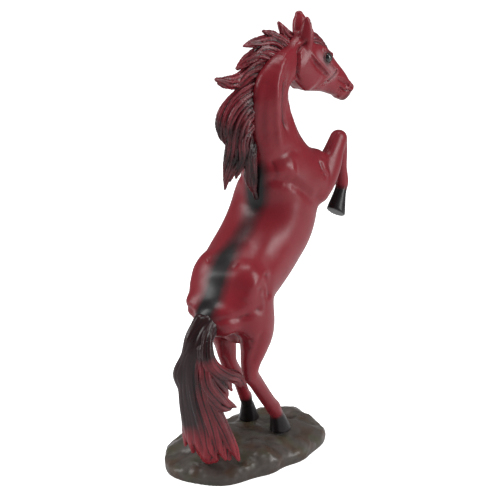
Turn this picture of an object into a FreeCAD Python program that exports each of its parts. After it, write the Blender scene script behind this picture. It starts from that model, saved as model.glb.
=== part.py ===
# Rearing horse statuette: hand-painted resin castings, pegged together and standing on a cast rock.
# +X is the way the horse's hindquarters head, +Y its left side, +Z up, and all lengths are in mm.
# The origin lies on the rock's flat underside, straight below the horse's loin.
import FreeCAD
import Part
import math
import os
from FreeCAD import Vector

os.makedirs("parts", exist_ok=True)

# The main sizes. Every place on the horse is a share of its height, from the rock's top to its ears.
horse_height = 300.0
rock_height = 18.0
rock_length = 131.0
rock_width = 86.0
rock_turn = -12.0

# The hidden metal: bent rods in the hind legs and the tail, straight dowels across the other seams.
leg_rod_diameter = 2.8
tail_rod_diameter = 3.2
rod_depth_in_rock = 13.0
neck_dowel_diameter = 8.0
neck_dowel_length = 34.0
head_dowel_diameter = 6.0
head_dowel_length = 22.0
foreleg_dowel_diameter = 3.2
foreleg_dowel_length = 17.0

# Rows along a limb's middle line: x, y, z, then its half depth and half width there.
# The body runs from the rump by way of the chest and up the neck to the poll.
body_shares = [
    (-0.140, -0.007, 0.340, 0.055, 0.057),
    (-0.090, 0.003, 0.373, 0.077, 0.090),
    (-0.043, 0.010, 0.410, 0.082, 0.093),
    (0.010, 0.017, 0.433, 0.087, 0.097),
    (0.067, 0.018, 0.470, 0.093, 0.097),
    (0.113, 0.010, 0.520, 0.091, 0.088),
    (0.127, 0.007, 0.580, 0.090, 0.084),
    (0.113, 0.003, 0.640, 0.085, 0.070),
    (0.090, 0.000, 0.703, 0.079, 0.051),
    (0.072, -0.003, 0.770, 0.067, 0.041),
    (0.060, -0.013, 0.830, 0.059, 0.037),
    (0.083, -0.020, 0.870, 0.050, 0.033),
    (0.123, -0.027, 0.893, 0.041, 0.029),
    (0.160, -0.030, 0.910, 0.034, 0.026),
]
body_squareness = 2.3
hip_shares = [(-0.090, -0.047, 0.440), (-0.080, 0.062, 0.443)]
hip_radius_share = 0.026

# Which row of the body, or of a hind leg, each seam between two castings lies in.
seam_rows = {"neck": 8, "head": 11, "hind": 3}

# The hind legs, from the hip by way of the stifle, hock and fetlock to the top of the hoof.
right_hind_shares = [
    (-0.090, -0.037, 0.393, 0.065, 0.040),
    (-0.067, -0.050, 0.347, 0.064, 0.042),
    (-0.058, -0.055, 0.303, 0.052, 0.037),
    (-0.067, -0.053, 0.263, 0.038, 0.029),
    (-0.077, -0.052, 0.233, 0.028, 0.023),
    (-0.075, -0.050, 0.203, 0.021, 0.018),
    (-0.048, -0.048, 0.172, 0.018, 0.017),
    (-0.017, -0.047, 0.133, 0.017, 0.016),
    (0.017, -0.044, 0.097, 0.017, 0.016),
    (0.035, -0.043, 0.077, 0.019, 0.018),
    (0.048, -0.042, 0.060, 0.017, 0.016),
    (0.059, -0.040, 0.042, 0.018, 0.018),
]
left_hind_shares = [
    (-0.083, 0.040, 0.387, 0.068, 0.040),
    (-0.047, 0.053, 0.340, 0.065, 0.042),
    (-0.027, 0.056, 0.293, 0.049, 0.036),
    (-0.020, 0.050, 0.250, 0.033, 0.027),
    (-0.023, 0.043, 0.220, 0.026, 0.022),
    (-0.022, 0.039, 0.193, 0.021, 0.018),
    (0.000, 0.043, 0.162, 0.017, 0.016),
    (0.027, 0.047, 0.122, 0.015, 0.015),
    (0.047, 0.049, 0.088, 0.015, 0.015),
    (0.057, 0.050, 0.073, 0.017, 0.016),
    (0.067, 0.053, 0.057, 0.015, 0.015),
    (0.075, 0.056, 0.040, 0.018, 0.018),
]
hind_rod_rows = (2, 3, 5, 9, 11)
right_hind_sole_shares = (0.073, -0.040, 0.0, 0.028, 0.026)
left_hind_sole_shares = (0.087, 0.060, 0.0, 0.028, 0.026)

# The forelegs: shoulder to elbow, elbow to knee, knee to the top of the hoof, and the hoof's sole.
right_shoulder_shares = [
    (0.100, -0.010, 0.570, 0.050, 0.030),
    (0.127, -0.045, 0.603, 0.057, 0.037),
    (0.170, -0.060, 0.617, 0.051, 0.033),
    (0.193, -0.065, 0.583, 0.036, 0.029),
]
right_forearm_shares = [
    (0.198, -0.067, 0.575, 0.032, 0.027),
    (0.220, -0.067, 0.602, 0.035, 0.028),
    (0.243, -0.067, 0.632, 0.034, 0.027),
    (0.267, -0.067, 0.663, 0.027, 0.023),
    (0.285, -0.067, 0.685, 0.021, 0.019),
]
right_cannon_shares = [
    (0.288, -0.067, 0.688, 0.019, 0.017),
    (0.297, -0.067, 0.653, 0.017, 0.016),
    (0.303, -0.067, 0.613, 0.014, 0.014),
    (0.308, -0.067, 0.577, 0.016, 0.016),
    (0.303, -0.067, 0.557, 0.014, 0.014),
    (0.296, -0.067, 0.543, 0.017, 0.017),
]
right_fore_sole_shares = (0.274, -0.067, 0.505, 0.024, 0.022)
left_shoulder_shares = [
    (0.100, 0.013, 0.567, 0.050, 0.030),
    (0.120, 0.048, 0.600, 0.056, 0.037),
    (0.158, 0.062, 0.605, 0.048, 0.033),
    (0.180, 0.068, 0.573, 0.035, 0.029),
]
left_forearm_shares = [
    (0.183, 0.070, 0.565, 0.032, 0.027),
    (0.203, 0.071, 0.592, 0.035, 0.028),
    (0.227, 0.072, 0.622, 0.032, 0.026),
    (0.250, 0.073, 0.648, 0.025, 0.022),
    (0.267, 0.073, 0.667, 0.020, 0.018),
]
left_cannon_shares = [
    (0.269, 0.073, 0.669, 0.018, 0.016),
    (0.278, 0.073, 0.633, 0.016, 0.015),
    (0.287, 0.073, 0.597, 0.014, 0.014),
    (0.291, 0.073, 0.563, 0.016, 0.016),
    (0.285, 0.073, 0.545, 0.014, 0.014),
    (0.277, 0.073, 0.533, 0.017, 0.017),
]
left_fore_sole_shares = (0.254, 0.073, 0.500, 0.024, 0.022)

# The head: its poll and heading, then rows of distance along it, height of its middle line,
# half depth and half width.
poll_shares = (0.187, -0.032, 0.930)
head_heading = Vector(0.71, -0.17, -0.68)
head_shares = [
    (-0.022, -0.014, 0.028, 0.019),
    (0.010, -0.023, 0.049, 0.030),
    (0.043, -0.029, 0.060, 0.034),
    (0.077, -0.023, 0.052, 0.032),
    (0.110, -0.015, 0.042, 0.026),
    (0.143, -0.009, 0.034, 0.022),
    (0.170, -0.007, 0.029, 0.021),
    (0.192, -0.006, 0.023, 0.018),
    (0.204, -0.006, 0.013, 0.011),
]
# The eyes are round beads set into the head: their place on it, then their diameter.
eye_shares = (0.057, 0.026, 0.002)
eye_diameter_share = 0.0233
elbow_share = 0.028
knee_share = 0.020
ear_shares = {
    "right": [
        (0.168, -0.047, 0.917, 0.017, 0.014),
        (0.169, -0.050, 0.943, 0.019, 0.014),
        (0.169, -0.052, 0.965, 0.015, 0.011),
        (0.168, -0.053, 0.984, 0.008, 0.006),
        (0.168, -0.054, 0.993, 0.0, 0.0),
    ],
    "left": [
        (0.185, -0.013, 0.917, 0.017, 0.014),
        (0.185, -0.011, 0.945, 0.019, 0.014),
        (0.187, -0.009, 0.970, 0.016, 0.012),
        (0.188, -0.008, 0.991, 0.009, 0.007),
        (0.188, -0.008, 1.0, 0.0, 0.0),
    ],
}

# Locks of hair, from root to tip.
forelock_shares = [
    (0.168, -0.027, 0.943, 0.014, 0.016),
    (0.197, -0.037, 0.947, 0.013, 0.015),
    (0.226, -0.048, 0.928, 0.010, 0.011),
    (0.254, -0.058, 0.897, 0.0, 0.0),
]
mane_shares = {
    "crest_tufts": [
        [(0.160, -0.017, 0.912, 0.020, 0.019), (0.147, -0.008, 0.952, 0.014, 0.012), (0.125, 0.0, 0.981, 0.0, 0.0)],
        [(0.130, -0.017, 0.903, 0.024, 0.020), (0.099, 0.0, 0.950, 0.014, 0.012), (0.069, 0.010, 0.968, 0.0, 0.0)],
        [(0.110, -0.017, 0.897, 0.024, 0.020), (0.080, 0.003, 0.938, 0.017, 0.013),
         (0.041, 0.013, 0.945, 0.011, 0.010), (0.006, 0.020, 0.942, 0.0, 0.0)],
        [(0.087, -0.013, 0.890, 0.024, 0.020), (0.058, 0.005, 0.920, 0.018, 0.014),
         (0.026, 0.017, 0.913, 0.014, 0.012), (-0.020, 0.030, 0.887, 0.0, 0.0)],
    ],
    "middle_mane": [
        [(0.067, -0.007, 0.880, 0.024, 0.020), (0.032, 0.013, 0.890, 0.020, 0.016),
         (0.0, 0.027, 0.882, 0.015, 0.013), (-0.038, 0.033, 0.877, 0.012, 0.010), (-0.075, 0.040, 0.873, 0.0, 0.0)],
        [(0.043, -0.003, 0.863, 0.024, 0.020), (0.010, 0.017, 0.868, 0.022, 0.016),
         (-0.016, 0.030, 0.855, 0.017, 0.013), (-0.047, 0.037, 0.849, 0.0, 0.0)],
        [(0.030, 0.0, 0.840, 0.024, 0.020), (-0.003, 0.017, 0.841, 0.024, 0.016),
         (-0.036, 0.030, 0.819, 0.020, 0.015), (-0.057, 0.040, 0.789, 0.017, 0.013),
         (-0.050, 0.043, 0.755, 0.013, 0.011), (-0.029, 0.040, 0.718, 0.0, 0.0)],
    ],
    "hanging_mane": [
        [(0.007, 0.0, 0.793, 0.026, 0.022), (-0.022, 0.012, 0.785, 0.024, 0.017),
         (-0.036, 0.023, 0.758, 0.021, 0.015), (-0.034, 0.033, 0.724, 0.016, 0.013), (-0.030, 0.040, 0.690, 0.0, 0.0)],
        [(0.010, 0.0, 0.752, 0.026, 0.022), (-0.014, 0.007, 0.738, 0.023, 0.017),
         (-0.024, 0.018, 0.705, 0.020, 0.014), (-0.031, 0.030, 0.670, 0.014, 0.011), (-0.041, 0.040, 0.628, 0.0, 0.0)],
    ],
    "withers_lock": [
        [(0.020, 0.0, 0.730, 0.020, 0.016), (-0.004, -0.002, 0.710, 0.016, 0.013),
         (0.003, -0.003, 0.670, 0.013, 0.011), (0.012, 0.0, 0.630, 0.010, 0.009), (0.024, 0.0, 0.590, 0.0, 0.0)],
    ],
}
tail_shares = [
    (-0.140, -0.007, 0.345, 0.023, 0.023),
    (-0.180, -0.003, 0.341, 0.025, 0.025),
    (-0.202, 0.005, 0.300, 0.027, 0.027),
    (-0.203, 0.018, 0.225, 0.027, 0.030),
    (-0.189, 0.027, 0.147, 0.027, 0.030),
    (-0.164, 0.035, 0.067, 0.027, 0.036),
    (-0.139, 0.037, -0.030, 0.031, 0.045),
]
tail_lock_shares = {
    "tail": [
        [(-0.190, 0.007, 0.325, 0.014, 0.014), (-0.211, 0.018, 0.297, 0.017, 0.017),
         (-0.222, 0.033, 0.263, 0.017, 0.017), (-0.214, 0.047, 0.222, 0.017, 0.017),
         (-0.194, 0.053, 0.170, 0.018, 0.018), (-0.178, 0.063, 0.110, 0.017, 0.017),
         (-0.168, 0.078, 0.050, 0.014, 0.014), (-0.155, 0.087, -0.025, 0.0, 0.0)],
        [(-0.192, -0.003, 0.322, 0.014, 0.014), (-0.219, 0.005, 0.285, 0.015, 0.015),
         (-0.218, 0.020, 0.230, 0.016, 0.016), (-0.198, 0.030, 0.160, 0.017, 0.017),
         (-0.175, 0.038, 0.090, 0.016, 0.016), (-0.152, 0.040, -0.025, 0.010, 0.010)],
        [(-0.190, 0.002, 0.250, 0.016, 0.016), (-0.187, -0.008, 0.215, 0.018, 0.018),
         (-0.168, -0.008, 0.170, 0.018, 0.018), (-0.142, -0.010, 0.115, 0.018, 0.018),
         (-0.125, -0.017, 0.065, 0.016, 0.016), (-0.117, -0.032, -0.025, 0.0, 0.0)],
    ],
    "tail_upper_curl": [
        [(-0.178, -0.008, 0.347, 0.012, 0.012), (-0.198, -0.022, 0.322, 0.014, 0.014),
         (-0.202, -0.032, 0.288, 0.016, 0.016), (-0.182, -0.041, 0.258, 0.017, 0.017),
         (-0.150, -0.047, 0.232, 0.017, 0.017), (-0.124, -0.053, 0.206, 0.014, 0.014), (-0.100, -0.057, 0.176, 0.0, 0.0)],
    ],
    "tail_middle_curl": [
        [(-0.203, -0.010, 0.285, 0.014, 0.014), (-0.203, -0.023, 0.252, 0.016, 0.016),
         (-0.186, -0.033, 0.217, 0.017, 0.017), (-0.160, -0.041, 0.187, 0.014, 0.014), (-0.143, -0.047, 0.157, 0.0, 0.0)],
    ],
    "tail_lower_curl": [
        [(-0.203, 0.0, 0.232, 0.015, 0.015), (-0.202, -0.014, 0.203, 0.016, 0.016),
         (-0.187, -0.024, 0.176, 0.017, 0.017), (-0.161, -0.033, 0.154, 0.014, 0.014), (-0.126, -0.043, 0.133, 0.0, 0.0)],
    ],
}
tail_rod_rows = (1, 2, 3, 4, 5, 6)

# The rock: where its middle lies, its outline's squareness, and for each level the height,
# the size and the unevenness round the outline.
rock_middle_shares = (0.073, 0.134)
rock_squareness = 2.3
rock_level_shares = [
    (0.0, 0.965, (0.00, 0.01, -0.01, 0.00, 0.02, 0.00, -0.01, 0.01)),
    (0.28, 1.0, (0.01, 0.00, -0.02, 0.01, 0.02, -0.01, 0.00, 0.02)),
    (0.60, 0.97, (0.01, -0.02, 0.00, 0.02, 0.00, -0.02, 0.01, 0.01)),
    (0.86, 0.89, (-0.01, -0.02, 0.01, 0.02, -0.02, 0.00, 0.02, -0.01)),
    (1.0, 0.77, (0.00, -0.01, 0.00, 0.02, -0.01, 0.00, 0.01, 0.00)),
]


def place(x, y, z):
    """A place on the horse: shares of its height, counted up from the rock's top."""
    return Vector(x * horse_height, y * horse_height, rock_height + z * horse_height)


def closed_curve(points):
    """A smooth closed curve through evenly counted points."""
    count = len(points)
    curve = Part.BSplineCurve()
    curve.interpolate(Points=points, PeriodicFlag=True, Parameters=[i / count for i in range(count + 1)])
    return Part.Wire(curve.toShape())


def oval(centre, along, sideways, depth, width, squareness=2.0):
    """An oval across the direction `along`, with its half width lying `sideways`."""
    along = Vector(along).normalize()
    side = (sideways - along * sideways.dot(along)).normalize()
    up = along.cross(side)
    count = 12
    points = []
    for i in range(count):
        turn = 2 * math.pi * i / count
        c, s = math.cos(turn), math.sin(turn)
        size = (abs(c) ** squareness + abs(s) ** squareness) ** (-1 / squareness)
        points.append(centre + up * (depth * size * c) + side * (width * size * s))
    return closed_curve(points)


def limb(rows, first=0, last=None, squareness=2.0, domed=False):
    """A smooth solid through a limb's rows; a row of no depth is its pointed tip."""
    last = len(rows) - 1 if last is None else last
    sideways = Vector(0, 1, 0)
    points = [place(*row[:3]) for row in rows]
    sections = []
    for i in range(first, last + 1):
        along = points[min(i + 1, len(rows) - 1)] - points[max(i - 1, 0)]
        depth, width = rows[i][3] * horse_height, rows[i][4] * horse_height
        if domed and i == 0:
            back = (points[0] - points[1]).normalize()
            for reach_share in (0.95, 0.75, 0.42):
                size_share = math.sqrt(1 - reach_share ** 2)
                centre = points[0] + back * (reach_share * depth)
                sections.append(oval(centre, along, sideways, depth * size_share, width * size_share, squareness))
        if depth == 0:
            sections.append(Part.Vertex(points[i]))
        else:
            sections.append(oval(points[i], along, sideways, depth, width, squareness))
    return Part.makeLoft(sections, True, False)


def heading(rows, i):
    """The direction of a limb's middle line at one of its rows."""
    return (place(*rows[i + 1][:3]) - place(*rows[i - 1][:3])).normalize()


def ball(shares, radius_share):
    """A ball that rounds off the bend of a joint or a hip."""
    return Part.makeSphere(radius_share * horse_height, place(*shares[:3]))


def hoof(crown, before, sole, standing):
    """A hoof from the end of the pastern to its sole, which is level where it stands."""
    top = place(*crown[:3])
    foot = place(*sole[:3])
    sideways = Vector(0, 1, 0)
    down = Vector(0, 0, -1) if standing else foot - top
    crown_oval = oval(top, top - place(*before[:3]), sideways, crown[3] * horse_height, crown[4] * horse_height)
    sole_oval = oval(foot, down, sideways, sole[3] * horse_height, sole[4] * horse_height)
    return Part.makeLoft([crown_oval, sole_oval], True, True)


def joined(shapes):
    """One solid out of shapes that run into each other."""
    whole = shapes[0].multiFuse(shapes[1:]) if len(shapes) > 1 else shapes[0]
    return whole.Solids[0] if len(whole.Solids) == 1 else whole


def bent_rod(points, diameter):
    """A round rod, bent at each of its inner points."""
    runs = [Part.makeCylinder(diameter / 2, (b - a).Length, a, b - a) for a, b in zip(points[:-1], points[1:])]
    bends = [Part.makeSphere(diameter / 2, p) for p in points[1:-1]]
    return joined(runs + bends)


def dowel(rows, seam, diameter, length):
    """A straight dowel with its middle on a limb's seam."""
    along = heading(rows, seam)
    start = place(*rows[seam][:3]) - along * (length / 2)
    return Part.makeCylinder(diameter / 2, length, start, along)


# The rock: levels of a rounded outline, the topmost one flat for the hooves to stand on.
def rock_level(height_share, size_share, bumps):
    """One level of the rock's outline."""
    middle = Vector(rock_middle_shares[0] * rock_length, rock_middle_shares[1] * rock_width, height_share * rock_height)
    points = []
    for i in range(3 * len(bumps)):
        turn = 2 * math.pi * i / (3 * len(bumps))
        c, s = math.cos(turn), math.sin(turn)
        size = (abs(c) ** rock_squareness + abs(s) ** rock_squareness) ** (-1 / rock_squareness)
        bump = bumps[(2 * i) % len(bumps)] if i % 2 else bumps[i // 2 % len(bumps)]
        size *= size_share + bump
        points.append(middle + Vector(size * c * rock_length / 2, size * s * rock_width / 2, 0))
    level = closed_curve(points)
    level.rotate(middle, Vector(0, 0, 1), rock_turn)
    return level


rock = Part.makeLoft([rock_level(*level) for level in rock_level_shares], True, False)

# The body casting: trunk, neck's root, haunches down to the hind legs' seams, and both upper arms.
body = joined([
    limb(body_shares, 0, seam_rows["neck"], body_squareness, domed=True),
    limb(right_hind_shares, 0, seam_rows["hind"]),
    limb(left_hind_shares, 0, seam_rows["hind"]),
    limb(right_shoulder_shares),
    limb(left_shoulder_shares),
] + [ball(hip, hip_radius_share) for hip in hip_shares])

# The lower hind legs are castings from their seam down, and the forelegs from the elbow to the hoof.
hind_rows = {"right": right_hind_shares, "left": left_hind_shares}
hind_soles = {"right": right_hind_sole_shares, "left": left_hind_sole_shares}
shoulder_rows = {"right": right_shoulder_shares, "left": left_shoulder_shares}
forearm_rows = {"right": right_forearm_shares, "left": left_forearm_shares}
cannon_rows = {"right": right_cannon_shares, "left": left_cannon_shares}
fore_soles = {"right": right_fore_sole_shares, "left": left_fore_sole_shares}

nodes = {"rock": rock, "body": body}
for side in ("right", "left"):
    rows, sole = hind_rows[side], hind_soles[side]
    nodes[side + "_hind_leg"] = joined([limb(rows, seam_rows["hind"]), hoof(rows[-1], rows[-2], sole, True)])
    forearm, cannon = forearm_rows[side], cannon_rows[side]
    foreleg = joined([
        ball(forearm[0], elbow_share),
        limb(forearm),
        ball(forearm[-1], knee_share),
        limb(cannon),
        hoof(cannon[-1], cannon[-2], fore_soles[side], False),
    ])
    nodes[side + "_foreleg"] = foreleg.cut(body)

# The neck is a casting between the two seams of the body's rows.
nodes["neck"] = limb(body_shares, seam_rows["neck"], seam_rows["head"], body_squareness)

# The head: its own rows lie along its heading, which points down and a little to the right.
poll = place(*poll_shares)
face = Vector(head_heading).normalize()
brow_side = Vector(0, 0, 1).cross(face).normalize()
brow = face.cross(brow_side)


def on_head(reach_share, left_share, brow_share):
    """A place on the head: along the face, to its left and towards the brow."""
    return poll + (face * reach_share + brow_side * left_share + brow * brow_share) * horse_height


skull_sections = []
for reach_share, middle_share, depth_share, width_share in head_shares:
    centre = on_head(reach_share, 0, middle_share)
    depth, width = depth_share * horse_height, width_share * horse_height
    skull_sections.append(oval(centre, face, brow_side, depth, width))
skull = Part.makeLoft(skull_sections, True, False)
throat = limb(body_shares, seam_rows["head"], None, body_squareness)
head = joined([skull, throat] + [limb(rows) for rows in ear_shares.values()])
for side, turn in (("right", -1), ("left", 1)):
    socket = on_head(eye_shares[0], turn * eye_shares[1], eye_shares[2])
    eye = Part.makeSphere(eye_diameter_share * horse_height / 2, socket)
    nodes[side + "_eye"] = eye
    head = head.cut(eye)
nodes["head"] = head

# The hair. Each casting is hollowed to sit on what lies under it.
nodes["forelock"] = limb(forelock_shares).cut(nodes["head"])
under = [nodes["body"], nodes["neck"], nodes["head"]]
for name, locks in mane_shares.items():
    hair = joined([limb(rows) for rows in locks])
    nodes[name] = hair.cut(under[0].multiFuse(under[1:]))
    under.append(nodes[name])
under = [nodes["body"], nodes["rock"], nodes["right_hind_leg"], nodes["left_hind_leg"]]
for name, locks in tail_lock_shares.items():
    hair = [limb(rows) for rows in locks]
    hair = joined([limb(tail_shares)] + hair) if name == "tail" else joined(hair)
    nodes[name] = hair.cut(under)
    under.append(nodes[name])

# The rods: each follows its limb's middle line down into the rock, and the dowels cross the seams.
down_into_rock = Vector(0, 0, -rod_depth_in_rock)
metal = {}
for side in ("right", "left"):
    rows, sole = hind_rows[side], place(*hind_soles[side][:3])
    bends = [place(*rows[i][:3]) for i in hind_rod_rows] + [sole, sole + down_into_rock]
    metal[side + "_leg_rod"] = (bent_rod(bends, leg_rod_diameter), ["body", side + "_hind_leg", "rock"])
    upper_arm = shoulder_rows[side] + forearm_rows[side][:1]
    pin = dowel(upper_arm, len(upper_arm) - 2, foreleg_dowel_diameter, foreleg_dowel_length)
    metal[side + "_foreleg_dowel"] = (pin, ["body", side + "_foreleg"])
bends = [place(*body_shares[0][:3])] + [place(*tail_shares[i][:3]) for i in tail_rod_rows]
bends.append(Vector(bends[-1].x, bends[-1].y, rock_height - rod_depth_in_rock))
metal["tail_rod"] = (bent_rod(bends, tail_rod_diameter), ["body", "tail", "rock"])
pin = dowel(body_shares, seam_rows["neck"], neck_dowel_diameter, neck_dowel_length)
metal["neck_dowel"] = (pin, ["body", "neck"])
pin = dowel(body_shares, seam_rows["head"], head_dowel_diameter, head_dowel_length)
metal["head_dowel"] = (pin, ["neck", "head"])
for name, (rod, holders) in metal.items():
    for holder in holders:
        nodes[holder] = nodes[holder].cut(rod)
    nodes[name] = rod

for name, shape in nodes.items():
    for solid in shape.Solids:
        if not solid.isValid():
            raise ValueError(name + " is not a sound solid")
    shape.exportStep("parts/" + name + ".step")
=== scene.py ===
import math

import bpy
import numpy as np
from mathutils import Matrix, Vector, noise


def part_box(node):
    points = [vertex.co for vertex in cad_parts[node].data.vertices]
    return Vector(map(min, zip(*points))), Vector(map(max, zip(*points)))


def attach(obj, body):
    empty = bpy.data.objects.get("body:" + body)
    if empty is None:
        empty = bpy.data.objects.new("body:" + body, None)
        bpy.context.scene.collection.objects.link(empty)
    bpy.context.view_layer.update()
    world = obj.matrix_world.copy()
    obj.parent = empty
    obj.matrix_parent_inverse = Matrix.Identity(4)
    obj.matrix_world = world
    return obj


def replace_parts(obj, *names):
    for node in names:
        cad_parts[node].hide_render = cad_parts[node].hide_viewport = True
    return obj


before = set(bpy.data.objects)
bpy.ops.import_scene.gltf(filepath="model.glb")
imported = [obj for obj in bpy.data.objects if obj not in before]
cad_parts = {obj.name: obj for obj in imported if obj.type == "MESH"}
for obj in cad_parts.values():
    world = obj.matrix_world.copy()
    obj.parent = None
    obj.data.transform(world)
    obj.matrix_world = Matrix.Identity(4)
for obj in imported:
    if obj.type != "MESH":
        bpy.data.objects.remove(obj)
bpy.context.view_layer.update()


# The rock is a low cast base, flat below and worn smooth, with the hooves and the tail's end glued to it.
# It is resin painted grey and brown, with moss green in its hollows, and varnished. Like the horse, it is
# shaped as clay is: lumps pressed together in millimetres, then skinned and turned into metres.
mm = 0.001
rock_grid = 1.0
rock_middle = (8.9, 10.0)
rock_half_sizes = (65.2, 39.9)
rock_turn = math.radians(-16)
rock_squareness = 2.5
rock_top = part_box("rock")[1][2] / mm
rim_drop = 8.5
swell_height, ripple_height, rim_lean = 0.9, 0.5, 1.6
wall_slope, wall_wave, wall_bulge = 42, 0.9, 4
top_seam, sole_seam = 4, 0.8
lump_count = 70
lump_radii = (6, 15)
lump_levels = (8, 20)
lump_heights = (-1.5, -1.0, 1.0, 1.5)
flat_foot = 1.5
pebble_size, pebble_height = 5, 0.8
most_above_top = 1.6
far_away = 50.0
block_cells = 14
block_size = 12.0


def pressed(gap, other, seam):
    """Two lumps of clay pressed together, with their seam smoothed over."""
    share = np.clip(0.5 + 0.5 * (gap - other) / seam, 0, 1)
    return gap + (other - gap) * share - seam * share * (1 - share)


class Clay:
    """Lumps pressed on or carved out one after another. Its gap is how far a place lies outside it."""

    def __init__(self):
        self.lumps = []
        self.low, self.high = np.full(3, np.inf), np.full(3, -np.inf)

    def press(self, lump, seam=1.0):
        self.lumps.append((lump, seam, 1))
        self.low, self.high = np.minimum(self.low, lump.low), np.maximum(self.high, lump.high)

    def carve(self, lump, seam=1.0):
        self.lumps.append((lump, seam, -1))

    def gap(self, places):
        low, high = places.min(0), places.max(0)
        gap = np.full(len(places), far_away)
        for lump, seam, turn in self.lumps:
            if np.all(lump.low - seam <= high) and np.all(lump.high + seam >= low):
                gap = turn * pressed(turn * gap, lump.gap(places), seam)
        return gap


class Slab:
    """The rock's own lump: a rounded outline under a top that swells towards the hooves."""

    def __init__(self):
        reach = rock_half_sizes[0] + 2
        self.low = np.array([rock_middle[0] - reach, rock_middle[1] - reach, 0])
        self.high = np.array([rock_middle[0] + reach, rock_middle[1] + reach, rock_top + 2])

    def gap(self, places):
        x, y = places[:, 0] - rock_middle[0], places[:, 1] - rock_middle[1]
        c, s = math.cos(rock_turn), math.sin(rock_turn)
        x, y, z = x * c + y * s, y * c - x * s, places[:, 2]
        way = np.arctan2(y, x)
        edge = (np.abs(x / rock_half_sizes[0]) ** rock_squareness
                + np.abs(y / rock_half_sizes[1]) ** rock_squareness) ** (1 / rock_squareness)
        swell = swell_height * np.sin(x / 9 + y / 21 + 1) * np.cos(y / 8 - x / 30)
        ripple = ripple_height * np.sin(x / 5 + y / 6 + 2)
        lean = rim_lean * np.sin(way * 3 + 1) * np.clip(edge, 0, 1)
        relief = (swell + ripple + lean) * np.clip(edge * 1.6, 0.2, 1)
        roof = z - (rock_top - rim_drop * np.clip(edge, 0, 1.1) ** 3 + relief)
        bulge = (z / rock_top - 0.4) ** 2 * wall_bulge
        wall = (edge - 1) * wall_slope + wall_wave * np.sin(way * 9 + 2) + bulge
        return -pressed(z, pressed(-wall, -roof, top_seam), sole_seam)


def smooth_rows(rows, steps):
    """More rows between the given ones, on a smooth curve through them."""
    rows = np.array(rows, float)
    padded = np.vstack([2 * rows[0] - rows[1], rows, 2 * rows[-1] - rows[-2]])
    result = []
    for before, start, end, after in zip(padded[:-3], padded[1:-2], padded[2:-1], padded[3:]):
        first_bend = 2 * before - 5 * start + 4 * end - after
        second_bend = 3 * start - before - 3 * end + after
        for t in np.arange(steps) / steps:
            result.append(start + (end - before + (first_bend * t + second_bend * t * t)) * t / 2)
    return np.array(result + [rows[-1]])


def measured(clay, step):
    """The clay's gap at each point of a grid, and the grid's lowest corner."""
    low = clay.low - 3 * step
    counts = np.ceil((clay.high - low) / step).astype(int) + 4
    field = np.full(counts, far_away)
    for corner in np.ndindex(*(-(-counts // block_cells))):
        first = np.array(corner) * block_cells
        last = np.minimum(first + block_cells, counts)
        cells = np.stack(np.meshgrid(*[np.arange(a, b) for a, b in zip(first, last)], indexing="ij"), -1)
        gap = clay.gap(low + cells.reshape(-1, 3) * step)
        field[first[0]:last[0], first[1]:last[1], first[2]:last[2]] = gap.reshape(cells.shape[:3])
    return field, low


def skinned(clay, step):
    """The places and three-sided faces of the clay's surface."""
    field, low = measured(clay, step)
    inside = field < 0
    sides = (slice(0, -1), slice(1, None))
    corners = sum(inside[a, b, c].astype(int) for a in sides for b in sides for c in sides)
    cells = np.argwhere((corners > 0) & (corners < 8))
    number = np.full(corners.shape, -1)
    number[tuple(cells.T)] = np.arange(len(cells))
    total, crossings = np.zeros((len(cells), 3)), np.zeros(len(cells))
    faces = []
    for axis in range(3):
        ahead, second, third = np.roll(np.eye(3, dtype=int), -axis, 0)
        for a, b in ((0, 0), (0, 1), (1, 0), (1, 1)):
            near = a * second + b * third
            gap, next_gap = field[tuple((cells + near).T)], field[tuple((cells + near + ahead).T)]
            cross = (gap < 0) != (next_gap < 0)
            share = gap[cross] / (gap[cross] - next_gap[cross])
            total[cross] += near + share[:, None] * ahead
            crossings[cross] += 1
        shifted = inside[ahead[0]:, ahead[1]:, ahead[2]:]
        changes = np.argwhere(inside[:-1, :-1, :-1] != shifted[tuple(slice(n - 1) for n in inside.shape)])
        ring = [changes, changes - second, changes - second - third, changes - third]
        face = np.stack([number[tuple(cell.T)] for cell in ring], -1)
        leaving = inside[tuple(changes.T)]
        faces.append(np.where(leaving[:, None], face, face[:, ::-1]))
    places = low + (cells + total / crossings[:, None]) * step
    faces = np.concatenate(faces)
    return places, np.concatenate([faces[:, [0, 1, 2]], faces[:, [0, 2, 3]]])


def edges_of(faces):
    """Each edge once, and the number of each face's three edges."""
    pairs = np.sort(faces[:, [[0, 1], [1, 2], [2, 0]]].reshape(-1, 2), axis=1)
    edges, numbers = np.unique(pairs, axis=0, return_inverse=True)
    return edges, numbers.reshape(-1, 3)


def neighbours_mean(values, edges):
    """The mean of each place's neighbours."""
    count = np.bincount(edges.ravel(), minlength=len(values)).astype(float)
    ends = np.concatenate([edges, edges[:, ::-1]])
    totals = [np.bincount(ends[:, 0], column[ends[:, 1]], len(values)) for column in values.T]
    return np.stack(totals, -1) / count[:, None]


def normals_of(places, faces):
    """The surface's outward arrow at each place."""
    a, b, c = places[faces[:, 0]], places[faces[:, 1]], places[faces[:, 2]]
    arrows = np.cross(b - a, c - a)
    total = np.zeros_like(places)
    for corner in range(3):
        total += np.stack([np.bincount(faces[:, corner], column, len(places)) for column in arrows.T], -1)
    return total / np.maximum(np.linalg.norm(total, axis=1), 1e-9)[:, None]


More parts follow.
